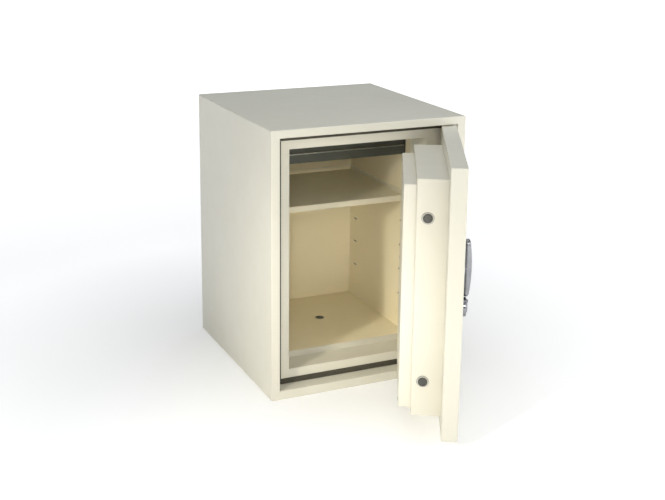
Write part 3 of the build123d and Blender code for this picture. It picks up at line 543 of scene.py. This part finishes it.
# ------------------------------------------------------------------ floor
bm = bmesh.new()
half, cells = 20.0, 20
grid = [[bm.verts.new((-half + 2 * half * i / cells, -half + 2 * half * j / cells, -0.0004)) for j in range(cells + 1)] for i in range(cells + 1)]
for i in range(cells):
    for j in range(cells):
        bm.faces.new((grid[i][j], grid[i + 1][j], grid[i + 1][j + 1], grid[i][j + 1]))
me = bpy.data.meshes.new("studio_floor")
bm.to_mesh(me)
bm.free()
floor = bpy.data.objects.new("studio_floor", me)
bpy.context.scene.collection.objects.link(floor)
g = Graph("floor_sweep")
g.b.inputs["Emission Color"].default_value = (1.0, 0.995, 0.985, 1.0)
reach = g.node("ShaderNodeVectorMath", operation="LENGTH")
g.put(reach.inputs[0], g.co)
# the floor's glow is dimmed within a metre of the safe, painted shade round its foot; farther out it rises so the floor
# reads evenly white
glow_dimmed_at_foot = g.range(reach.outputs["Value"], 0.35, 1.0, 0.25, 0.50)
g.put(g.b.inputs["Emission Strength"], g.math("ADD", glow_dimmed_at_foot, g.range(reach.outputs["Value"], 1.2, 3.8, 0.0, 0.42)))
tint = g.mix(g.range(g.noise(0.9, 2.0), 0.3, 0.7, 0.0, 1.0), (0.80, 0.80, 0.79), (0.78, 0.78, 0.77))
g.done(tint, g.range(g.noise(8.0, 2.0), 0.3, 0.7, 0.75, 0.85))
me.materials.append(g.m)

# pale backdrop far behind the floor, seen directly and throwing no light on the object
bm = bmesh.new()
rows = []
for z in (-0.5, 0.0, 2.0, 6.0, 12.0, 18.0):
    rows.append([bm.verts.new((19.0 * math.cos(2 * math.pi * k / 96), 19.0 * math.sin(2 * math.pi * k / 96), z)) for k in range(96)])
for a, b in zip(rows, rows[1:]):
    for i in range(96):
        j = (i + 1) % 96
        bm.faces.new((a[i], b[i], b[j], a[j]))
me = bpy.data.meshes.new("studio_backdrop")
bm.to_mesh(me)
bm.free()
backdrop = bpy.data.objects.new("studio_backdrop", me)
bpy.context.scene.collection.objects.link(backdrop)
g = Graph("backdrop_paper")
g.b.inputs["Emission Color"].default_value = (1.0, 0.995, 0.985, 1.0)
g.b.inputs["Emission Strength"].default_value = 1.0
g.done(g.mix(g.range(g.noise(0.3, 2.0), 0.3, 0.7, 0.0, 1.0), (0.80, 0.80, 0.79), (0.78, 0.78, 0.77)), 0.8)
g.m.cycles.emission_sampling = "NONE"
me.materials.append(g.m)
backdrop.visible_diffuse = False
backdrop.visible_glossy = False
backdrop.visible_transmission = False
backdrop.visible_shadow = False

# ------------------------------------------------------------------ light
world = bpy.data.worlds.new("studio")
bpy.context.scene.world = world
world.use_nodes = True
t = world.node_tree
t.nodes.clear()
w_out = t.nodes.new("ShaderNodeOutputWorld")
w_bg = t.nodes.new("ShaderNodeBackground")
w_co = t.nodes.new("ShaderNodeTexCoord")
w_sep = t.nodes.new("ShaderNodeSeparateXYZ")
w_ramp = t.nodes.new("ShaderNodeValToRGB")
w_ramp.color_ramp.elements[0].position = 0.0
w_ramp.color_ramp.elements[0].color = (0.085, 0.079, 0.064, 1)
w_ramp.color_ramp.elements[1].position = 1.0
w_ramp.color_ramp.elements[1].color = (0.62, 0.65, 0.70, 1)
t.links.new(w_co.outputs["Generated"], w_sep.inputs[0])
t.links.new(w_sep.outputs[2], w_ramp.inputs[0])
t.links.new(w_ramp.outputs[0], w_bg.inputs[0])
t.links.new(w_bg.outputs[0], w_out.inputs[0])
w_bg.inputs[1].default_value = 1.0


def area(name, place, target, size, power, tint, size_y=None, spread=None):
    d = bpy.data.lights.new(name, "AREA")
    d.shape = "RECTANGLE"
    d.size = size
    d.size_y = size_y or size
    d.energy = power
    d.color = tint
    if spread:
        d.spread = spread
    o = bpy.data.objects.new(name, d)
    bpy.context.scene.collection.objects.link(o)
    o.location = place
    o.rotation_mode = "QUATERNION"
    o.rotation_quaternion = (Vector(target) - Vector(place)).to_track_quat("-Z", "Y")
    o.visible_camera = False
    return o


area("over_cool", (0.0, -0.1, 2.6), (0.0, 0.0, 0.0), 1.5, 10.0, (0.93, 0.97, 1.0))
area("front_right", (2.2, -2.4, 1.3), (0.0, -0.25, 0.3), 1.2, 20.5, (1.0, 0.995, 0.985))
area("front_left", (-1.2, -3.0, 1.7), (0.0, -0.2, 0.3), 0.8, 10.6, (1.0, 0.985, 0.94))
area("front_soft", (0.25, -3.3, 1.25), (0.0, -0.25, 0.40), 2.2, 19.0, (1.0, 0.995, 0.985), 1.3)
area("key_left", (-2.81, -1.82, 1.61), (0.05, -0.33, 0.08), 0.30, 1.12, (1.0, 0.94, 0.80), spread=0.36)
area("cavity_fill", (-0.9, -2.0, 0.55), (0.08, 0.05, 0.25), 0.25, 0.085, (1.0, 0.97, 0.90), spread=0.24)

# ------------------------------------------------------------------ camera
cam_data = bpy.data.cameras.new("camera")
cam = bpy.data.objects.new("camera", cam_data)
bpy.context.scene.collection.objects.link(cam)
cam_data.sensor_fit = "HORIZONTAL"
cam_data.sensor_width = 36.0
cam_data.lens = 62.08369
cam_data.shift_y = -0.097744
cam_data.clip_start, cam_data.clip_end = 0.05, 100.0
right = Vector((0.909474, -0.415612, 0.011159))
above = Vector((0.093322, 0.230223, 0.968653))
ahead = Vector((0.405153, 0.879923, -0.248167))
place = Vector((-1.16316, -2.56642, 1.16280))
cam.matrix_world = Matrix((
    (right.x, above.x, -ahead.x, place.x),
    (right.y, above.y, -ahead.y, place.y),
    (right.z, above.z, -ahead.z, place.z),
    (0.0, 0.0, 0.0, 1.0),
))
bpy.context.scene.camera = cam

bpy.context.scene.view_settings.view_transform = "Standard"
bpy.context.scene.view_settings.look = "None"
bpy.context.scene.view_settings.exposure = 0.0
bpy.context.scene.view_settings.gamma = 1.0

bpy.context.view_layer.update()
